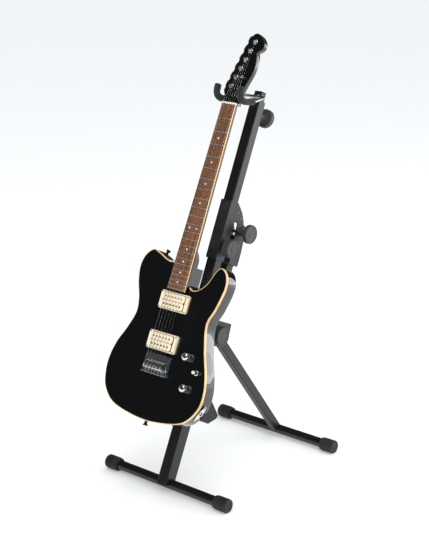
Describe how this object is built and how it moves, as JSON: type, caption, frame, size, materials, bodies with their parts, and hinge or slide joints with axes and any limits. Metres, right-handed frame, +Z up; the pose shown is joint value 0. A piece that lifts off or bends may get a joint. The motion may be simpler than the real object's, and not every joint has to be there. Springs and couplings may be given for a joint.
{
  "type": "guitar on stand",
  "caption": "Solid-body electric guitar held on a folding, height-adjustable, tilting black steel stand.",
  "frame": {"origin": "middle of the footprint, on the floor", "axes": "+Z up, +X across the stand to the guitar's treble side, the guitar faces -Y"},
  "size_m": [0.403, 0.549, 1.1018],
  "materials": {
    "steel_black": "satin powder coat, fine grain",
    "foot_black": "smooth semi-gloss coat",
    "bracket_black": "matt moulded",
    "knob_grey": "matt moulded, fine texture",
    "zinc": "zinc plated",
    "rubber": "matt",
    "foam": "soft foam skin",
    "body_gloss": "high-gloss black lacquer",
    "neck_gloss": "gloss black lacquer",
    "ivory": "aged ivory, polished",
    "cream": "cream moulded",
    "rosewood": "oiled, open grain, steel frets",
    "bone": "polished bone",
    "chrome": "polished",
    "string_steel": "wound and plain wire"
  },
  "bodies": {
    "base": {"front_foot_tube": "foot_black", "front_cap_left": "rubber", "front_cap_right": "rubber", "front_leg_tube": "steel_black", "leg_bracket": "bracket_black", "rear_leg_pivot_bolt": "zinc"},
    "leg_height_knob": {"leg_height_knob": "knob_grey"},
    "rear_leg": {"rear_leg_tube": "steel_black", "rear_foot_tube": "foot_black", "rear_cap_left": "rubber", "rear_cap_right": "rubber"},
    "extension": {"extension_tube": "steel_black", "tilt_fork": "bracket_black", "tilt_pivot_bolt": "zinc"},
    "tilt_clamp_knob": {"tilt_clamp_knob": "knob_grey"},
    "carriage": {"tilt_sleeve": "bracket_black"},
    "post_clamp_knob": {"post_clamp_knob": "knob_grey"},
    "post": {"post_tube": "steel_black", "cradle_bar": "steel_black", "cradle_pad_left": "rubber", "cradle_pad_right": "rubber"},
    "neck_rest_knob": {"neck_rest_knob": "knob_grey"},
    "neck_rest": {"neck_rest_tube": "steel_black", "neck_rest_plug": "bracket_black", "yoke_rod": "zinc", "yoke_foam_left": "foam", "yoke_foam_right": "foam"},
    "guitar": {"guitar_body": "body_gloss", "body_binding": "ivory", "guitar_neck": "neck_gloss", "fretboard": "rosewood", "string_nut": "bone", "pickup_ring_neck": "cream", "pickup_ring_bridge": "cream", "neck_pickup": "cream", "bridge_pickup": "cream", "bridge_plate": "chrome", "bridge_saddles": "chrome", "toggle_nut": "chrome", "neck_plate": "chrome", "tuner_set": "chrome", "string_tree": "chrome", "jack_plate": "chrome", "strap_button_tail": "chrome", "strap_button_horn": "chrome", "string_1": "string_steel", "string_2": "string_steel", "string_3": "string_steel", "string_4": "string_steel", "string_5": "string_steel", "string_6": "string_steel"},
    "volume_knob": {"volume_knob": "chrome"},
    "tone_knob": {"tone_knob": "chrome"},
    "toggle_lever": {"toggle_lever": "cream"},
    "tuner_key_1": {"tuner_key_1": "chrome"},
    "tuner_key_2": {"tuner_key_2": "chrome"},
    "tuner_key_3": {"tuner_key_3": "chrome"},
    "tuner_key_4": {"tuner_key_4": "chrome"},
    "tuner_key_5": {"tuner_key_5": "chrome"},
    "tuner_key_6": {"tuner_key_6": "chrome"}
  },
  "joints": [
    {"name": "rear_leg_fold", "type": "hinge", "parent": "base", "child": "rear_leg", "pos_m": [0, 0.00748, 0.34898], "axis": [1, 0, 0], "range_deg": [-55, 0]},
    {"name": "leg_height_knob_turn", "type": "hinge", "parent": "base", "child": "leg_height_knob", "pos_m": [0.03115, -0.0266, 0.37175], "axis": [1, 0, 0], "range_deg": [0, 360]},
    {"name": "leg_height", "type": "slide", "parent": "base", "child": "extension", "axis": [0, 0.421, 0.907], "range_m": [0, 0.15]},
    {"name": "tilt_clamp_knob_turn", "type": "hinge", "parent": "extension", "child": "tilt_clamp_knob", "pos_m": [0.0174, 0.07618, 0.61289], "axis": [1, 0, 0], "range_deg": [0, 360]},
    {"name": "post_tilt", "type": "hinge", "parent": "extension", "child": "carriage", "pos_m": [0, 0.06052, 0.57915], "axis": [1, 0, 0], "range_deg": [-15, 0]},
    {"name": "post_clamp_knob_turn", "type": "hinge", "parent": "carriage", "child": "post_clamp_knob", "pos_m": [0.03165, 0.01219, 0.58777], "axis": [1, 0, 0], "range_deg": [0, 360]},
    {"name": "post_height", "type": "slide", "parent": "carriage", "child": "post", "axis": [0, 0.4093, 0.9124], "range_m": [-0.1, 0.15]},
    {"name": "neck_rest_knob_turn", "type": "hinge", "parent": "post", "child": "neck_rest_knob", "pos_m": [0, 0.18528, 0.88496], "axis": [0, 0.9124, -0.4093], "range_deg": [0, 360]},
    {"name": "neck_rest_height", "type": "slide", "parent": "post", "child": "neck_rest", "axis": [0, 0.4093, 0.9124], "range_m": [0, 0.08]},
    {"name": "guitar_lift", "type": "slide", "parent": "neck_rest", "child": "guitar", "axis": [0, 0.1905, 0.9817], "range_m": [0, 0.45]},
    {"name": "volume_turn", "type": "hinge", "parent": "guitar", "child": "volume_knob", "pos_m": [0.086, -0.20512, 0.37795], "axis": [0, -0.9062, 0.4229], "range_deg": [-135, 135]},
    {"name": "tone_turn", "type": "hinge", "parent": "guitar", "child": "tone_knob", "pos_m": [0.104, -0.236, 0.3118], "axis": [0, -0.9062, 0.4229], "range_deg": [-135, 135]},
    {"name": "pickup_toggle", "type": "hinge", "parent": "guitar", "child": "toggle_lever", "pos_m": [0.123, -0.21509, 0.3495], "axis": [1, 0, 0], "range_deg": [-11, 11]},
    {"name": "tuner_turn_1", "type": "hinge", "parent": "guitar", "child": "tuner_key_1", "pos_m": [-0.014, 0.09477, 0.96964], "axis": [-0.9553, 0.1251, 0.268], "continuous": true},
    {"name": "tuner_turn_2", "type": "hinge", "parent": "guitar", "child": "tuner_key_2", "pos_m": [-0.00688, 0.10449, 0.99048], "axis": [-0.9553, 0.1251, 0.268], "continuous": true},
    {"name": "tuner_turn_3", "type": "hinge", "parent": "guitar", "child": "tuner_key_3", "pos_m": [0.00024, 0.11422, 1.01133], "axis": [-0.9553, 0.1251, 0.268], "continuous": true},
    {"name": "tuner_turn_4", "type": "hinge", "parent": "guitar", "child": "tuner_key_4", "pos_m": [0.00736, 0.12395, 1.03217], "axis": [-0.9553, 0.1251, 0.268], "continuous": true},
    {"name": "tuner_turn_5", "type": "hinge", "parent": "guitar", "child": "tuner_key_5", "pos_m": [0.01448, 0.13368, 1.05301], "axis": [-0.9553, 0.1251, 0.268], "continuous": true},
    {"name": "tuner_turn_6", "type": "hinge", "parent": "guitar", "child": "tuner_key_6", "pos_m": [0.0216, 0.1434, 1.07385], "axis": [-0.9553, 0.1251, 0.268], "continuous": true}
  ]
}
